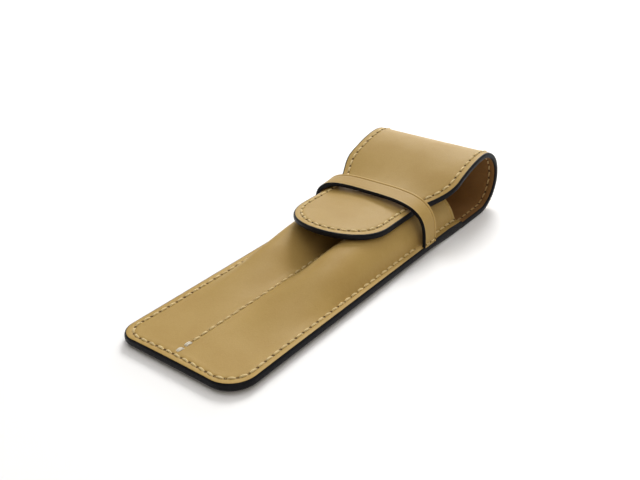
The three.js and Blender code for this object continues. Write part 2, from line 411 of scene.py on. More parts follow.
# ---- materials -----------------------------------------------------------------------------------

def srgb(r, g, b):
    def linear(c):
        c /= 255
        return c / 12.92 if c <= 0.04045 else ((c + 0.055) / 1.055) ** 2.4
    return (linear(r), linear(g), linear(b), 1.0)


def start_material(name):
    material = bpy.data.materials.new(name)
    material.use_nodes = True
    nodes, links = material.node_tree.nodes, material.node_tree.links
    shader = nodes["Principled BSDF"]
    return material, nodes, links, shader


def feed(links, socket, value):
    if isinstance(value, bpy.types.NodeSocket):
        links.new(value, socket)
    else:
        socket.default_value = value


def attribute(nodes, name):
    node = nodes.new("ShaderNodeAttribute")
    node.attribute_name = name
    return node


def noise(nodes, links, vector, scale, detail=3.0, rough=0.55, distortion=0.0):
    node = nodes.new("ShaderNodeTexNoise")
    node.inputs["Scale"].default_value = scale
    node.inputs["Detail"].default_value = detail
    node.inputs["Roughness"].default_value = rough
    node.inputs["Distortion"].default_value = distortion
    links.new(vector, node.inputs["Vector"])
    return node


def ramp(nodes, links, value, stops):
    node = nodes.new("ShaderNodeValToRGB")
    elements = node.color_ramp.elements
    while len(elements) < len(stops):
        elements.new(0.5)
    for element, (position, colour) in zip(elements, stops):
        element.position = position
        element.color = colour if len(colour) == 4 else (*colour, 1)
    links.new(value, node.inputs["Fac"])
    return node.outputs["Color"]


def blend_colour(nodes, links, mode, factor, a, b):
    node = nodes.new("ShaderNodeMix")
    node.data_type = "RGBA"
    node.blend_type = mode
    for socket, value in (("Factor", factor), ("A", a), ("B", b)):
        feed(links, node.inputs[socket], value)
    return node.outputs["Result"]


def math_node(nodes, links, operation, a, b):
    node = nodes.new("ShaderNodeMath")
    node.operation = operation
    feed(links, node.inputs[0], a)
    feed(links, node.inputs[1], b)
    return node.outputs[0]


def map_range(nodes, links, value, given, wanted):
    node = nodes.new("ShaderNodeMapRange")
    node.interpolation_type = "SMOOTHSTEP"
    node.inputs["From Min"].default_value, node.inputs["From Max"].default_value = given
    node.inputs["To Min"].default_value, node.inputs["To Max"].default_value = wanted
    links.new(value, node.inputs["Value"])
    return node.outputs["Result"]


def add_bump(nodes, links, shader, height, strength, distance):
    """Raises the surface by a height texture. The distance is in metres."""
    bump = nodes.new("ShaderNodeBump")
    bump.inputs["Strength"].default_value = strength
    bump.inputs["Distance"].default_value = distance
    links.new(height, bump.inputs["Height"])
    links.new(bump.outputs["Normal"], shader.inputs["Normal"])


def leather_material(name, base, light, dark, rough, grain, tones=()):
    """Smooth leather: cloudy colour, fine pores and creases, and tones by the stored margin, among them
    painted shade and painted highlight.
    """
    material, nodes, links, shader = start_material(name)
    where = attribute(nodes, "rest").outputs["Vector"]
    clouds = noise(nodes, links, where, 0.055, 4.0, 0.55, 0.4)
    cloudy = ramp(nodes, links, clouds.outputs["Fac"], [(0.3, dark), (0.5, base), (0.72, light)])
    pores = noise(nodes, links, where, 1.7, 3.0, 0.6)
    speckle = ramp(nodes, links, pores.outputs["Fac"], [(0.3, (0.93, 0.92, 0.90)), (0.65, (1, 1, 1))])
    colour = blend_colour(nodes, links, "MULTIPLY", 0.8, cloudy, speckle)
    fibres = noise(nodes, links, where, 0.35, 5.0, 0.65, 1.2)
    streak = ramp(nodes, links, fibres.outputs["Fac"], [(0.35, (0.965, 0.955, 0.94)), (0.6, (1, 1, 1))])
    colour = blend_colour(nodes, links, "MULTIPLY", 0.7, colour, streak)
    if tones:
        inward = attribute(nodes, "margin").outputs["Fac"]
        share = math_node(nodes, links, "DIVIDE", inward, TONE_SPAN)
        # Tones by the margin: the leather's own rim and border tones, with painted shade at seams and
        # creases and painted highlight on rims.
        tones_and_painted_light = ramp(nodes, links, share, tones)
        colour = blend_colour(nodes, links, "MULTIPLY", 1.0, colour, tones_and_painted_light)
    links.new(colour, shader.inputs["Base Color"])
    cells = nodes.new("ShaderNodeTexVoronoi")
    cells.feature = "DISTANCE_TO_EDGE"
    cells.inputs["Scale"].default_value = 1.5
    links.new(where, cells.inputs["Vector"])
    cell = math_node(nodes, links, "MINIMUM", cells.outputs["Distance"], 0.18)
    height = math_node(nodes, links, "MULTIPLY", cell, 2.2)
    height = math_node(nodes, links, "ADD", height, pores.outputs["Fac"])
    ripple = math_node(nodes, links, "MULTIPLY", fibres.outputs["Fac"], 1.4)
    height = math_node(nodes, links, "ADD", height, ripple)
    add_bump(nodes, links, shader, height, grain, 0.00012)
    matt, satin = (rough + 0.05,) * 3, (rough - 0.05,) * 3
    gloss = ramp(nodes, links, clouds.outputs["Fac"], [(0.3, matt), (0.7, satin)])
    links.new(gloss, shader.inputs["Roughness"])
    shader.inputs["Specular IOR Level"].default_value = 0.15
    return material


def edge_material():
    """Black edge paint: satin, a little uneven, rubbed to brown in places."""
    material, nodes, links, shader = start_material("edge_paint")
    where = attribute(nodes, "rest").outputs["Vector"]
    blotch = noise(nodes, links, where, 0.6, 4.0, 0.6)
    paint = [(0.3, (0.003, 0.003, 0.004)), (0.62, (0.006, 0.006, 0.008)), (0.8, (0.014, 0.011, 0.009))]
    colour = ramp(nodes, links, blotch.outputs["Fac"], paint)
    links.new(colour, shader.inputs["Base Color"])
    gloss = ramp(nodes, links, blotch.outputs["Fac"], [(0.3, (0.36,) * 3), (0.7, (0.48,) * 3)])
    links.new(gloss, shader.inputs["Roughness"])
    ripple = noise(nodes, links, where, 1.1, 3.0)
    add_bump(nodes, links, shader, ripple.outputs["Fac"], 0.5, 0.00015)
    shader.inputs["Specular IOR Level"].default_value = 0.10
    return material


def thread_material(name, base, dark):
    """Waxed thread: twisted plies, by a wave along each stitch, with painted shade in the dark bands
    between the plies.
    """
    material, nodes, links, shader = start_material(name)
    where = attribute(nodes, "rest").outputs["Vector"]
    twist = nodes.new("ShaderNodeTexWave")
    twist.bands_direction = "DIAGONAL"
    twist.inputs["Scale"].default_value = 0.9
    twist.inputs["Distortion"].default_value = 0.4
    links.new(where, twist.inputs["Vector"])
    # The darker colour in the twist's bands is painted shade between the plies.
    colour = ramp(nodes, links, twist.outputs["Fac"], [(0.0, dark), (0.45, base), (1.0, base)])
    fuzz = noise(nodes, links, where, 0.4, 2.0)
    tone = ramp(nodes, links, fuzz.outputs["Fac"], [(0.3, (0.86, 0.85, 0.82)), (0.7, (1, 1, 1))])
    colour = blend_colour(nodes, links, "MULTIPLY", 1.0, colour, tone)
    links.new(colour, shader.inputs["Base Color"])
    add_bump(nodes, links, shader, twist.outputs["Fac"], 0.8, 0.00015)
    shader.inputs["Roughness"].default_value = 0.6
    return material


def hole_material():
    """The needle holes' dark brown, painted shade in the holes."""
    material, nodes, links, shader = start_material("needle_hole_painted_shade")
    where = attribute(nodes, "rest").outputs["Vector"]
    blotch = noise(nodes, links, where, 1.5, 2.0)
    # Dark browns standing for the shade inside the holes.
    hole_shade = [(0.3, srgb(70, 46, 18)), (0.7, srgb(100, 72, 34))]
    colour = ramp(nodes, links, blotch.outputs["Fac"], hole_shade)
    links.new(colour, shader.inputs["Base Color"])
    shader.inputs["Roughness"].default_value = 0.9
    return material


# Tones over the stored margin, as shares of TONE_SPAN: burnished rim, pale border, painted shade at the
# seam's groove and plain field, then past PLAIN_MARGIN painted shade for the crease and the pale rim of
# the mouth.
SHEET_TONES_WITH_PAINTED_SHADE = [
    (0.0, (0.48, 0.42, 0.36)),
    (0.056, (0.84, 0.82, 0.78)),
    (0.08, (0.97, 0.965, 0.95)),
    (0.20, (0.96, 0.955, 0.94)),
    (0.255, (0.90, 0.885, 0.86)),
    # Painted shade in the seam's groove.
    (0.268, (0.84, 0.82, 0.78)),
    (0.283, (0.89, 0.88, 0.865)),
    (0.42, (0.90, 0.895, 0.885)),
    (0.76, (0.90, 0.895, 0.885)),
    # Painted shade for the crease by the mouth.
    (0.80, (0.74, 0.71, 0.66)),
    (0.90, (1.0, 0.99, 0.98)),
]
# The same for the keeper: plain strap, pale rims that are painted highlight, and a dark crease that is
# painted shade.
KEEPER_TONES_WITH_PAINTED_LIGHT = [
    (0.0, (0.90, 0.895, 0.885)),
    # Painted highlight along the strap's rims.
    (0.45, (1.0, 0.99, 0.98)),
    (0.60, (1.0, 0.99, 0.98)),
    # Painted shade in the crease.
    (1.0, (0.62, 0.58, 0.52)),
]
TAN = leather_material(
    "tan_leather", srgb(179, 149, 87), srgb(182, 152, 90), srgb(176, 145, 84), 0.50, 0.28, SHEET_TONES_WITH_PAINTED_SHADE)
KEEPER_TAN = leather_material(
    "keeper_leather", srgb(179, 149, 88), srgb(182, 152, 91), srgb(176, 145, 85), 0.50, 0.28,
    KEEPER_TONES_WITH_PAINTED_LIGHT)
# The lining's own darker brown, darkened further as painted shade for the inside of the fold.
LINING_WITH_PAINTED_SHADE = leather_material(
    "lining_leather", srgb(128, 92, 50), srgb(136, 99, 57), srgb(118, 83, 44), 0.72, 0.5)
RIM = leather_material(
    "turned_rim", srgb(192, 168, 118), srgb(198, 175, 127), srgb(184, 159, 108), 0.55, 0.3)
EDGE = edge_material()
# The second colour of each thread is painted shade between its plies.
THREAD = thread_material("seam_thread", srgb(252, 228, 166), srgb(228, 196, 130))
# The seam's thread again, darker: a copy in painted shade for the stitches on the lining side.
THREAD_IN_PAINTED_SHADE = thread_material("seam_thread_in_painted_shade", srgb(214, 178, 118), srgb(176, 138, 84))
# The seam's thread again, paler: a copy with painted light for the bar tack, which lies in shade.
TACK_THREAD_PAINTED_LIGHT = thread_material("tack_thread", srgb(255, 250, 235), srgb(232, 216, 184))
# The holes' dark cups carry painted shade.
HOLE_PAINTED_SHADE = hole_material()

# ---- stitches ------------------------------------------------------------------------------------

THREAD_INSET = 0.42         # from a hole's middle to the thread's end
THREAD_DIP = -0.34          # height of the thread's ends
THREAD_STEPS, THREAD_SIDES = 9, 8
HOLE_SIDES = 10
HOLE_RINGS = ((0.58, 0.12), (0.40, 0.02))   # radius and height
HOLE_DEPTH = 0.22


class Line:
    """A seam line in space, with the surface's outward direction along it."""

    def __init__(self, points, normals):
        self.points = points
        self.normals = normals
        self.length = run_length(points)

    def at(self, where):
        p = np.stack([np.interp(where, self.length, self.points[:, i]) for i in range(3)], -1)
        n = np.stack([np.interp(where, self.length, self.normals[:, i]) for i in range(3)], -1)
        return p, unit(n)

    def frame(self, where):
        """Points along the line with the directions outwards, ahead and across."""
        p, n = self.at(where)
        ahead, behind = self.at(where + 0.05)[0], self.at(where - 0.05)[0]
        t = unit(ahead - behind)
        return p, n, t, np.cross(t, n)


def thread_mesh(line, start, end, radius, height, side_step, wobble, first):
    """One stitch's thread: a plump tube whose ends dip into its holes."""
    share = (1 - np.cos(np.pi * np.linspace(0, 1, THREAD_STEPS))) / 2
    lifts = np.sin(np.pi * share) ** 0.55
    around = np.linspace(0, 2 * np.pi, THREAD_SIDES, endpoint=False)
    where = mix(start + THREAD_INSET, end - THREAD_INSET, share)
    p, n, _, b = line.frame(where)
    slant = (share - 0.5) * 2 * 0.16 + wobble
    rise, sink = height
    centre = p + n * (mix(THREAD_DIP, rise, lifts) - sink)[:, None] + b * (slant + side_step)[:, None]
    r = radius * mix(0.72, 1.0, lifts)
    ring = centre[:, None, :] + r[:, None, None] * (
        b[:, None, :] * np.cos(around)[None, :, None]
        + 0.82 * n[:, None, :] * np.sin(around)[None, :, None])
    turn = [np.repeat(where * 2.2, THREAD_SIDES), np.tile(around * 1.4, THREAD_STEPS),
            np.full(THREAD_STEPS * THREAD_SIDES, start)]
    faces = []
    for i in range(THREAD_STEPS - 1):
        a = first + i * THREAD_SIDES
        for j in range(THREAD_SIDES):
            k = (j + 1) % THREAD_SIDES
            faces.append((a + j, a + k, a + THREAD_SIDES + k, a + THREAD_SIDES + j))
    last = first + (THREAD_STEPS - 1) * THREAD_SIDES
    faces.append(tuple(first + j for j in reversed(range(THREAD_SIDES))))
    faces.append(tuple(last + j for j in range(THREAD_SIDES)))
    return ring.reshape(-1, 3), np.stack(turn, -1), faces


def hole_mesh(line, hole, size, sink, side_step, first):
    """One needle hole: a shallow cup, dark with painted shade."""
    p, n, t, b = line.frame(np.array([hole]))
    angle = np.linspace(0, 2 * np.pi, HOLE_SIDES, endpoint=False)
    base = p + b * side_step
    outline = t * np.cos(angle)[:, None] * 0.95 + b * np.sin(angle)[:, None] * 0.82
    rings = [base + n * (up - sink) + size * radius * outline for radius, up in HOLE_RINGS]
    points = np.concatenate(rings + [base - n * (HOLE_DEPTH + sink)])
    faces = []
    for j in range(HOLE_SIDES):
        k = (j + 1) % HOLE_SIDES
        faces.append((first + j, first + k, first + HOLE_SIDES + k, first + HOLE_SIDES + j))
        faces.append((first + HOLE_SIDES + j, first + HOLE_SIDES + k, first + 2 * HOLE_SIDES))
    return points, faces


def add_stitches(name, line, spans, radius, seed, thread=THREAD, sink=0.0, rise=0.34, side_step=0.0,
                 with_holes=True):
    """Threads between pairs of holes along a line, and the holes at their ends, dark with painted shade.
    """
    random = np.random.default_rng(seed)
    points, faces, mats, rest = [], [], [], []
    count = 0
    used = set()
    for start, end in spans:
        wobble = random.uniform(-0.06, 0.06)
        swell = random.uniform(0.93, 1.06)
        tube, turn, sides = thread_mesh(
            line, start, end, radius * swell, (rise, sink), side_step, wobble, count)
        points.append(tube)
        rest.append(turn)
        faces += sides
        mats += [0] * len(sides)
        count += len(tube)
        for hole in (start, end):
            if not with_holes or round(hole, 3) in used:
                continue
            used.add(round(hole, 3))
            cup, sides = hole_mesh(line, hole, random.uniform(0.9, 1.12), sink, side_step, count)
            points.append(cup)
            rest.append(cup)
            faces += sides
            mats += [1] * len(sides)
            count += len(cup)
    mesh = mesh_in_metres(name, np.concatenate(points), faces, mats)
    mesh.polygons.foreach_set("use_smooth", np.ones(len(faces), bool))
    store(mesh, "rest", "FLOAT_VECTOR", "vector", np.concatenate(rest))
    mesh.materials.append(thread)
    mesh.materials.append(HOLE_PAINTED_SHADE)
    mesh.validate()
    return link_object(name, mesh)


# ---- the strip: its stations, sections and bodies ------------------------------------------------

def fine_rows(start, end, step):
    """Positions from start to end, crowded at both ends so that neighbouring sections shade alike."""
    inner = np.linspace(start, end, max(3, int(abs(end - start) / step) + 1))
    sign = 1 if end > start else -1
    extra = [start + sign * 0.04, start + sign * 0.15, end - sign * 0.04, end - sign * 0.15]
    return np.unique(np.concatenate([inner, extra]))[::sign]


def arc_path(degrees):
    return FOLD_CENTRE + FOLD_RADIUS * math.radians(degrees)


def fold_point(degrees):
    """Inside of the fold at an angle, in metres in the row frame."""
    radius = FOLD_RADIUS - STRIP
    angle = math.radians(degrees)
    y = FOLD_CENTRE + radius * math.sin(angle) - LENGTH / 2
    return (0.0, y * MM, (FOLD_RADIUS - radius * math.cos(angle)) * MM)


def flat_point(along):
    return (0.0, (along - LENGTH / 2) * MM, 0.0)


def bend(number, behind, ahead):
    """One of the fold's four bending sections, which stands for the CAD node of the body ahead."""
    start, end = 45 * (number - 1), 45 * number
    follow = (behind, ahead, fold_point(start), fold_point(end))
    return (f"bend_{number}", arc_path(start), arc_path(end), follow, [ahead])


# name, first path, last path, blended pair of bodies with its ends, CAD nodes stood for
SECTIONS = [
    ("base", MOUTH, FOLD_CENTRE,
     ("pouch", "fold_base", flat_point(MOUTH + 0.5), flat_point(FOLD_CENTRE)), ["fold_base"]),
    bend(1, "fold_base", "fold_lower"),
    bend(2, "fold_lower", "fold_middle"),
    bend(3, "fold_middle", "fold_upper"),
    bend(4, "fold_upper", "flap_root"),
    ("bridge", TOP_START, path_on_top(FLAP_REAR),
     ("flap_root", "flap", flat_point(BRIDGE_REAR), flat_point(FLAP_REAR + 0.5)), ["flap_bridge"]),
]


def attach(obj):
    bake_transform(obj)


def strip_runs(first, last):
    """Stations down both long edges of the strip between two path positions."""
    path = fine_rows(first, last, STATION_STEP)
    side, middle = strip_side(path), strip_centre(path)
    spine = np.stack([middle, path], -1)
    left = np.stack([middle - side, path], -1)
    right = np.stack([middle + side, path], -1)
    return [(left, spine), (right[::-1], spine[::-1])]


def tongue_outline():
    """Stations of the tongue: up its left edge, round the tip and back on the right, in (x, path)."""
    rows = path_on_top(fine_rows(FLAP_REAR, TONGUE_TIP + TONGUE_ROUND, STATION_STEP))
    side, middle = strip_side(rows), strip_centre(rows)
    end_path = path_on_top(TONGUE_TIP + TONGUE_ROUND)
    half, centre = float(strip_side(end_path)), float(strip_centre(end_path))
    turn = np.linspace(0, math.pi, 131)[1:-1]
    tip = np.stack([centre - half * np.cos(turn), end_path + TONGUE_ROUND * np.sin(turn)], -1)
    left = np.stack([middle - side, rows], -1)
    right = np.stack([middle + side, rows], -1)[::-1]
    outline = np.concatenate([left, tip, right])
    straight = np.stack([middle, rows], -1)
    round_spine = np.tile([[centre, end_path]], (len(turn), 1))
    return outline, np.concatenate([straight, round_spine, straight[::-1]])


def pouch_outline(mouth=MOUTH):
    """Stations of the pouch: down its left side, round the closed end and up the right side."""
    brim = mouth - np.linspace(0.2, 3.4, 17)
    left_rows = fine_rows(mouth, LEFT_CORNER, STATION_STEP)
    left_rows = np.unique(np.concatenate([left_rows, brim]))[::-1]
    right_rows = fine_rows(RIGHT_CORNER, mouth, STATION_STEP)
    right_rows = np.unique(np.concatenate([right_rows, brim]))
    turn = np.linspace(0, math.pi / 2, 26)[1:]
    left = np.stack([np.full(len(left_rows), -HALF), left_rows], -1)
    corner = np.stack([-HALF + LEFT_CORNER * (1 - np.cos(turn)), LEFT_CORNER * (1 - np.sin(turn))], -1)
    across = np.linspace(-HALF + LEFT_CORNER, HALF - RIGHT_CORNER, 80)[1:-1]
    end = np.stack([across, np.zeros(len(across))], -1)
    turn = np.linspace(0, math.pi / 2, 34)[:-1]
    far = np.stack([HALF - RIGHT_CORNER * (1 - np.sin(turn)), RIGHT_CORNER * (1 - np.cos(turn))], -1)
    right = np.stack([np.full(len(right_rows), HALF), right_rows], -1)
    outline = np.concatenate([left, corner, end, far, right])
    spine = np.stack([np.full(len(outline), SEAM_X), np.maximum(outline[:, 1], SPINE_END)], -1)
    return outline, spine


def inset_line(outline, spine, margin):
    return outline + unit(spine - outline) * margin


def along_line(plan, where):
    length = run_length(plan)
    return np.stack([np.interp(where, length, plan[:, i]) for i in range(2)], -1)


def resample(plan, pitch, offset=0.0):
    """Even hole positions along a plan line: (holes, their lengths along it)."""
    total = run_length(plan)[-1]
    count = max(1, int(round((total - 2 * offset) / pitch)))
    where = np.linspace(offset, total - offset, count + 1)
    return along_line(plan, where), where


def even(plan, step):
    total = run_length(plan)[-1]
    return along_line(plan, np.linspace(0, total, int(total / step) + 1))


def soften(plan, passes):
    """Rounds a seam line's corners a little, as the needle's even steps do."""
    plan = plan.copy()
    for _ in range(passes):
        plan[1:-1] = 0.25 * plan[:-2] + 0.5 * plan[1:-1] + 0.25 * plan[2:]
    return plan


def strip_seam_plan(side):
    """One side's seam in (x, path), from the mouth over the fold to the tongue's rear."""
    path = np.linspace(MOUTH, path_on_top(FLAP_REAR), 900)
    x = strip_centre(path) + side * (strip_side(path) - MARGIN)
    return np.stack([x, path], -1)


# The strip's seam runs unbroken from the mouth over the fold, round the tongue and back again.
tongue_line, tongue_spine = tongue_outline()
tongue_seam = inset_line(tongue_line, tongue_spine, MARGIN)
left_seam, right_seam = strip_seam_plan(-1), strip_seam_plan(1)
whole_seam = np.concatenate([left_seam, tongue_seam[1:-1], right_seam[::-1]])
strip_holes, strip_knots = resample(whole_seam, PITCH, 1.2)

# The border's seam starts and ends a little short of the mouth.
pouch_line, pouch_spine = pouch_outline()
border_seam = soften(even(inset_line(*pouch_outline(MOUTH - 1.4), MARGIN), 0.5), 18)
border_holes, border_knots = resample(border_seam, PITCH, 0.3)
centre_seam = np.stack([np.full(400, SEAM_X), np.linspace(4.2, MOUTH - 1.6, 400)], -1)
_, centre_knots = resample(centre_seam, PITCH)


# ---- leather of the strip ------------------------------------------------------------------------

def strip_piece(name, runs, lining):
    """One leather of the strip over the given stations: the outer one or the lining."""
    if lining:
        rows = layer_profile(STRIP, OUTER_SHARE, STRIP, STRIP_BULGE, 14, 5)
    else:
        rows = layer_profile(0.0, OUTER_SHARE, STRIP, STRIP_BULGE, 14, 6)
    plan, inward, depth, kinds, faces, mats = lay_out(runs, rows)
    relief = seam_relief(inward, plan, strip_holes, 0.6) * (kinds == FACE)
    depth = depth + (relief if lining else -relief)
    points = strip_surface(plan[:, 0], plan[:, 1], depth)
    rest = np.stack([plan[:, 0], plan[:, 1], depth + (LINING_SEED if lining else 0)], -1)
    materials = [LINING_WITH_PAINTED_SHADE if lining else TAN, EDGE, LINING_WITH_PAINTED_SHADE]
    return make_object(name, points, faces, mats, materials, rest, np.minimum(inward, PLAIN_MARGIN))


for label, first, last, follow, stands_for in SECTIONS:
    runs = strip_runs(first, last)
    for lining in (False, True):
        kind = "lining" if lining else "outer"
        piece = strip_piece(f"strip_{label}_{kind}", runs, lining)
        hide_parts(*[f"{node}_{kind}" for node in stands_for])
        attach(piece)

for lining in (False, True):
    kind = "lining" if lining else "outer"
    piece = strip_piece(f"tongue_{kind}", [(tongue_line, tongue_spine)], lining)
    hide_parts(f"flap_{kind}")
    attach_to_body(piece, "flap")


# ---- leather of the pouch ------------------------------------------------------------------------

def mouth_relief(along):
    """How far the front panel's face stands out by its turned, creased rim at the mouth."""
    rim = smooth((along - (MOUTH - 0.45)) / 0.45) ** 2 * -0.22
    crease = -0.20 * bell(along, MOUTH - 2.1, 0.28)
    roll = 0.10 * bell(along, MOUTH - 1.1, 0.5)
    return rim + crease + roll


def pouch_piece(name, face_height, under_height, face, under, fine, stands_for, channels):
    """One leather of the pouch, between the heights of its face and its underside at the border."""
    shown, hidden = BORDER_TOP - face_height, BORDER_TOP - under_height
    rows = layer_profile(shown, hidden, BORDER_TOP, POUCH_BULGE, fine, 5)
    plan, inward, depth, kinds, faces, mats = lay_out([(pouch_line, pouch_spine)], rows)
    # The lower leathers stand back a little from the edge, except towards the mouth.
    toward = np.repeat(unit(pouch_spine - pouch_line), len(rows), axis=0)
    tucked = 1.5 * smooth(2 * depth / BORDER_TOP - 1) * (1 - smooth((plan[:, 1] - 108) / 28))
    tucked *= clamp01(1 - inward / SPINE_FROM)
    plan, inward = plan + toward * tucked[:, None], inward + tucked
    x, along = plan[:, 0], plan[:, 1]
    tone = np.minimum(inward, PLAIN_MARGIN)
    if channels:
        relief = seam_relief(inward, plan, border_holes, 1.0) * (kinds == FACE)
        beside = np.abs(x - SEAM_X)
        seam = -0.22 * bell(beside, 0.0, 0.6) + 0.05 * bell(beside, 1.6, 0.6)
        seam *= smooth((along - 2.5) / 3) * (kinds == FACE)
        relief = relief + seam + mouth_relief(along) * (kinds == FACE)
        points = front_surface(x, along, depth - relief)
        if face_height < BORDER_TOP:
            points[:, 2] = np.maximum(points[:, 2], under_height)
        tone = tone + (TONE_SPAN - PLAIN_MARGIN) * smooth((along - (MOUTH - 1.7)) / 0.3)
    else:
        groove = 0
        if face_height < under_height:
            groove = 0.45 * bell(inward, MARGIN, 0.5) * (kinds == FACE)
        points = np.stack([x, along, BORDER_TOP - depth + groove], -1)
    grain = LINING_SEED if face is LINING_WITH_PAINTED_SHADE else 0
    rest = np.stack([x, along - POUCH_SHIFT, depth + grain], -1)
    piece = make_object(name, points, faces, mats, [face, EDGE, under], rest, tone)
    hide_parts(stands_for)
    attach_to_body(piece, "pouch")


pouch_piece("pouch_front_outer", BORDER_TOP, FRONT_SPLIT, TAN, RIM, 60,
            "front_panel_outer", True)
pouch_piece("pouch_front_lining", FRONT_SPLIT, STACK_SPLIT, LINING_WITH_PAINTED_SHADE, LINING_WITH_PAINTED_SHADE, 60,
            "front_panel_lining", True)
pouch_piece("pouch_back_lining", STACK_SPLIT, OUTER_SHARE, LINING_WITH_PAINTED_SHADE, LINING_WITH_PAINTED_SHADE, 8,
            "back_panel_lining", False)
pouch_piece("pouch_back_outer", 0.0, OUTER_SHARE, TAN, LINING_WITH_PAINTED_SHADE, 8,
            "back_panel_outer", False)


# ---- keeper strap --------------------------------------------------------------------------------

def keeper_curve(top):
    """The strap's outer surface across the sleeve, as even (x, z) steps, with outward normals."""
    power = 2 / KEEPER_SQUARENESS
    angle = np.concatenate([[0], np.geomspace(1e-5, math.pi / 2, 400)])
    angle = np.concatenate([angle, math.pi - angle[::-1][1:]])
    cosine, sine = np.cos(angle), np.sin(angle).clip(0)
    x = -np.sign(cosine) * HALF * np.abs(cosine) ** power
    z = KEEPER_FOOT + (top - KEEPER_FOOT) * sine ** power
    length = run_length(np.stack([x, z], -1))
    where = np.linspace(0, length[-1], 161)
    x, z = np.interp(where, length, x), np.interp(where, length, z)
    dx, dz = np.gradient(x), np.gradient(z)
    size = np.hypot(dx, dz)
    return x, z, -dz / size, dx / size


# Places of the rows across the strap, from its front edge.
KEEPER_FACE_ROWS = [
    0.35, 0.5, 0.7, 1.0, 1.4, 2.0, 3.0, 4.2, 5.4, 6.3,
    6.7, 6.95, 7.1, 7.2, 7.3, 7.45, 7.7, 7.9, 8.0, 8.15,
]
KEEPER_UNDER_ROWS = [0.5, 2.0, 4.2, 6.3, 8.0]
KEEPER_WIDTH = KEEPER_REAR - KEEPER_FRONT
KEEPER_SPLIT = 0.85         # depth of the joint between the strap's two leathers
KEEPER_CREASE = 7.2         # the pressed line along the strap


def keeper_ring(start_depth, end_depth):
    """A ring across the strap for one leather, as (place across, depth, kind of surface)."""
    upper = start_depth == 0
    ring = []
    if upper:
        for w in KEEPER_FACE_ROWS:
            dent = 0.24 * bell(w, KEEPER_CREASE, 0.2) - 0.05 * bell(w, 7.8, 0.3) + 0.05 * bell(w, 0.9, 0.2)
            ring.append((w, dent, FACE))
    else:
        ring += [(w, end_depth, FACE) for w in reversed(KEEPER_UNDER_ROWS)]
    heights = np.linspace(start_depth, end_depth, 5)
    sides = heights if upper else heights[::-1]
    first, second = (KEEPER_WIDTH, 0.0) if upper else (0.0, KEEPER_WIDTH)
    pull = edge_pull(sides, KEEPER_THICK, KEEPER_BULGE)
    ring += [(first - p if first else p, d, SIDE) for p, d in zip(pull, sides)]
    ring += [(second - p if second else p, d, SIDE) for p, d in zip(pull[::-1], sides[::-1])]
    return ring


def keeper_margin(w):
    """The tone coordinate across the strap: dark crease of painted shade, pale rims of painted highlight,
    plain middle.
    """
    # The crease gets painted shade; the rims by both edges get painted highlight.
    if abs(w - KEEPER_CREASE) < 0.15:
        return TONE_SPAN
    return TONE_SPAN / 2 if w > 7.25 or w < 0.75 else 0.0


def keeper_piece(name, start_depth, end_depth, material, stands_for):
    """One leather of the strap: a ring across its width, swept along the arch."""
    ring = keeper_ring(start_depth, end_depth)
    count = len(ring)
    fx, fz, fnx, fnz = keeper_curve(KEEPER_FRONT_TOP)
    rx, rz, rnx, rnz = keeper_curve(KEEPER_REAR_TOP)
    stations = len(fx)
    points = np.zeros((stations, count, 3))
    margin = np.zeros((stations, count))
    rest = np.zeros((stations, count, 3))
    for k, (w, depth, _) in enumerate(ring):
        t = w / KEEPER_WIDTH
        x, z = mix(fx, rx, t), mix(fz, rz, t)
        nx, nz = mix(fnx, rnx, t), mix(fnz, rnz, t)
        size = np.hypot(nx, nz)
        if depth == KEEPER_THICK:
            # The lining is thicker at the left shoulder, where it closes a narrow gap over the tongue.
            depth = depth + 0.6 * bell(x, -22, 4)
        points[:, k, 0] = x - depth * nx / size
        points[:, k, 1] = KEEPER_FRONT + w
        points[:, k, 2] = np.maximum(z - depth * nz / size, KEEPER_FOOT)
        margin[:, k] = keeper_margin(w)
        rest[:, k, 0] = np.arange(stations) * 0.5
        rest[:, k, 1] = w
        rest[:, k, 2] = KEEPER_SEED + depth
    faces, mats = [], []
    for i in range(stations - 1):
        for k in range(count):
            n = (k + 1) % count
            a = i * count
            faces.append((a + k, a + n, a + count + n, a + count + k))
            on_edge = ring[k][2] == SIDE and ring[n][2] == SIDE
            flat = abs(ring[k][1] - ring[n][1]) < 1e-6 and abs(ring[k][0] - ring[n][0]) > 2
            mats.append(UNDERSIDE if on_edge and flat else (SIDE if on_edge else FACE))
    piece = make_object(name, points.reshape(-1, 3), faces, mats, [material, EDGE, LINING_WITH_PAINTED_SHADE],
                        rest.reshape(-1, 3), margin.ravel())
    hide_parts(stands_for)
    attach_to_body(piece, "pouch")


keeper_piece("keeper_strap_outer", 0.0, KEEPER_SPLIT, KEEPER_TAN, "keeper_outer")
keeper_piece("keeper_strap_lining", KEEPER_SPLIT, KEEPER_THICK, LINING_WITH_PAINTED_SHADE, "keeper_lining")


# ---- seams ---------------------------------------------------------------------------------------

SEAM_DIP = 0.16             # how far the seam's line lies under the leather's face
LEATHER_THREAD_RADIUS = 0.47
LINING_THREAD_RADIUS = 0.34


def strip_line(plan, lining):
    """The seam as a line in space on one face of the strip."""
    depth = STRIP - SEAM_DIP if lining else SEAM_DIP
    points = strip_surface(plan[:, 0], plan[:, 1], depth)
    out = strip_surface(plan[:, 0], plan[:, 1], depth + (0.2 if lining else -0.2))
    return Line(points, unit(out - points))


def spans_of(knots):
    return list(zip(knots[:-1], knots[1:]))


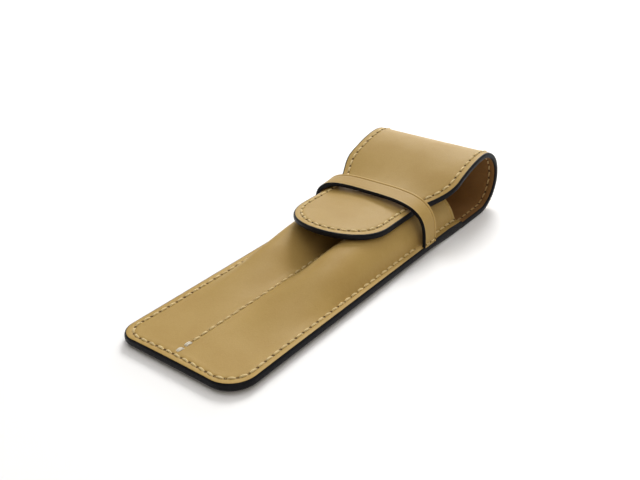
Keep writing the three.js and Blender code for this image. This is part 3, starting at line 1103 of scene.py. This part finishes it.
dense_seam = even(whole_seam, 0.25)
plan_length = run_length(dense_seam)
middles = 0.5 * (strip_knots[:-1] + strip_knots[1:])
paths = np.interp(middles, plan_length, dense_seam[:, 1])
sides = np.sign(np.interp(middles, plan_length, dense_seam[:, 0]))
for lining in (False, True):
    line = strip_line(dense_seam, lining)
    to_space = np.interp(strip_knots, plan_length, line.length)
    face = "inner" if lining else "outer"
    # The lining side's stitches take the thread's copy in painted shade.
    thread = THREAD_IN_PAINTED_SHADE if lining else THREAD
    radius = LINING_THREAD_RADIUS if lining else LEATHER_THREAD_RADIUS
    for label, first, last, follow, _ in SECTIONS:
        for sign, hand in ((-1, "left"), (1, "right")):
            pick = (paths >= first) & (paths < last) & (sides == sign)
            spans = [(to_space[i], to_space[i + 1]) for i in np.nonzero(pick)[0]]
            if not spans:
                continue
            low = label == "base" and not lining
            piece = add_stitches(f"stitches_{label}_{face}_{hand}", line, spans, thread=thread,
                                 radius=radius, sink=0.22 if low else 0.0, seed=len(label) + sign)
            attach(piece)
    pick = paths >= path_on_top(FLAP_REAR)
    spans = [(to_space[i], to_space[i + 1]) for i in np.nonzero(pick)[0]]
    piece = add_stitches(f"stitches_tongue_{face}", line, spans, thread=thread, radius=radius, seed=3)
    if not lining:
        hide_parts("flap_seam_thread")
    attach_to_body(piece, "flap")

flat_seam = even(border_seam, 0.25)
flat_length = run_length(flat_seam)


def flat_line(plan, height, up):
    points = np.stack([plan[:, 0], plan[:, 1], np.full(len(plan), height)], -1)
    return Line(points, np.tile([0.0, 0.0, 1.0 if up else -1.0], (len(plan), 1)))


# The keeper's feet cover the border's stitches under them.
top_line = flat_line(flat_seam, BORDER_TOP - SEAM_DIP, True)
border_spans = []
for start, end in spans_of(border_knots):
    x = np.interp((start + end) / 2, flat_length, flat_seam[:, 0])
    along = np.interp((start + end) / 2, flat_length, flat_seam[:, 1])
    covered = KEEPER_FRONT - 1.5 < along < KEEPER_REAR + 1.2 and abs(x) > 20
    if not covered:
        border_spans.append((start, end))
piece = add_stitches("stitches_border", top_line, border_spans, radius=LEATHER_THREAD_RADIUS, seed=11)
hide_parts("perimeter_seam_thread")
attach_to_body(piece, "pouch")

piece = add_stitches("stitches_underside", flat_line(flat_seam, 0.42, False), spans_of(border_knots),
                     radius=0.3, rise=0.05, seed=12)
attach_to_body(piece, "pouch")

centre_line = flat_line(centre_seam, BORDER_TOP - 0.22, True)
centre_spans = spans_of(centre_knots)
piece = add_stitches("stitches_centre", centre_line, centre_spans[2:], radius=0.42, rise=0.32, seed=13)
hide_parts("centre_seam_thread")
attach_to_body(piece, "pouch")
for number, step in enumerate((-0.38, 0.38)):
    # The bar tack takes the thread's paler copy, painted light.
    piece = add_stitches(f"bar_tack_{number + 1}", centre_line, centre_spans[:2], thread=TACK_THREAD_PAINTED_LIGHT,
                         radius=0.42, side_step=step, with_holes=number == 0, seed=14 + number)
    if number == 0:
        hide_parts("centre_seam_bar_tack")
    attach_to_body(piece, "pouch")

for sign, hand in ((-1, "left"), (1, "right")):
    rows = np.linspace(KEEPER_FRONT + 0.2, KEEPER_REAR - 0.2, 40)
    points = np.stack([np.full(40, sign * (HALF + 0.03)), rows, np.full(40, KEEPER_FOOT + 1.5)], -1)
    line = Line(points, np.tile([float(sign), 0.0, 0.0], (40, 1)))
    spans = [(0.25, 3.6), (3.6, 7.2)]
    piece = add_stitches(f"stitches_keeper_{hand}", line, spans, radius=0.3, rise=0.2, seed=20)
    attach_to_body(piece, "pouch")


# ---- floor, light and camera ---------------------------------------------------------------------

FLOOR_REACH = 20            # metres
FLOOR_HEIGHT = -0.0001


def floor_material():
    """Pale floor that turns evenly white away from the object."""
    material, nodes, links, shader = start_material("studio_floor")
    shader.inputs["Base Color"].default_value = (0.93, 0.93, 0.93, 1)
    shader.inputs["Roughness"].default_value = 0.6
    shader.inputs["Specular IOR Level"].default_value = 0.2
    place = nodes.new("ShaderNodeNewGeometry").outputs["Position"]
    distance = nodes.new("ShaderNodeVectorMath")
    distance.operation = "LENGTH"
    links.new(place, distance.inputs[0])
    glow = map_range(nodes, links, distance.outputs["Value"], (0.5, 2.2), (0.0, 0.85))
    shader.inputs["Emission Color"].default_value = (1, 1, 1, 1)
    links.new(glow, shader.inputs["Emission Strength"])
    return material


mesh = bpy.data.meshes.new("studio_floor")
signs = ((-1, -1), (1, -1), (1, 1), (-1, 1))
corners = [(x * FLOOR_REACH, y * FLOOR_REACH, FLOOR_HEIGHT) for x, y in signs]
mesh.from_pydata(corners, [], [(0, 1, 2, 3)])
mesh.materials.append(floor_material())
floor = link_object("studio_floor", mesh)
floor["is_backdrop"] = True

world = bpy.data.worlds.new("studio")
bpy.context.scene.world = world
world.use_nodes = True
sky, sky_links = world.node_tree.nodes, world.node_tree.links
sky["Background"].inputs["Color"].default_value = (1.0, 0.97, 0.93, 1)
direction = sky.new("ShaderNodeTexCoord").outputs["Generated"]
parts = sky.new("ShaderNodeSeparateXYZ")
sky_links.new(direction, parts.inputs[0])
paleness = map_range(sky, sky_links, parts.outputs["Z"], (0.06, 0.30), (0.9, 0.14))
sky_links.new(paleness, sky["Background"].inputs["Strength"])


def softbox(name, place, size, power, target=(0, 0, 0.01), colour=(1, 1, 1)):
    data = bpy.data.lights.new(name, "AREA")
    data.shape = "RECTANGLE"
    data.size, data.size_y = size
    data.energy = power
    data.color = colour
    lamp = link_object(name, data)
    lamp.location = place
    lamp.rotation_euler = (Vector(target) - Vector(place)).to_track_quat("-Z", "Y").to_euler()


softbox("overhead_softbox", (-0.30, 0.60, 1.3), (2.4, 2.4), 19.5, (-0.30, 0.60, 0))
softbox("key_softbox", (-0.32, 0.78, 0.78), (0.40, 0.40), 7.5)
softbox("fill_softbox", (0.70, -0.42, 0.62), (0.6, 0.6), 2.2, colour=(1.0, 0.90, 0.78))
softbox("back_softbox", (-0.40, 1.25, 0.34), (1.6, 0.55), 7.0)

CAMERA = (173.13, -135.29 - LENGTH / 2, 163.44)
YAW, PITCH_DOWN, ROLL = 0.680, 0.499, -0.036
SENSOR, LENS = 36, 45.858375    # millimetres
level = math.cos(PITCH_DOWN)
forward = Vector((-math.sin(YAW) * level, math.cos(YAW) * level, -math.sin(PITCH_DOWN)))
right = Vector((math.cos(YAW), math.sin(YAW), 0))
up = right.cross(forward)
tilted_right = math.cos(ROLL) * right + math.sin(ROLL) * up
tilted_up = -math.sin(ROLL) * right + math.cos(ROLL) * up
camera_data = bpy.data.cameras.new("camera")
camera_data.sensor_width = SENSOR
camera_data.lens = LENS
camera_data.clip_start, camera_data.clip_end = 0.01, 20
camera = link_object("camera", camera_data)
turn = Matrix((tilted_right, tilted_up, -forward)).transposed().to_4x4()
camera.matrix_world = Matrix.Translation(Vector(CAMERA) * MM) @ turn
bpy.context.scene.camera = camera
bpy.context.scene.view_settings.view_transform = "Standard"

low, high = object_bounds()
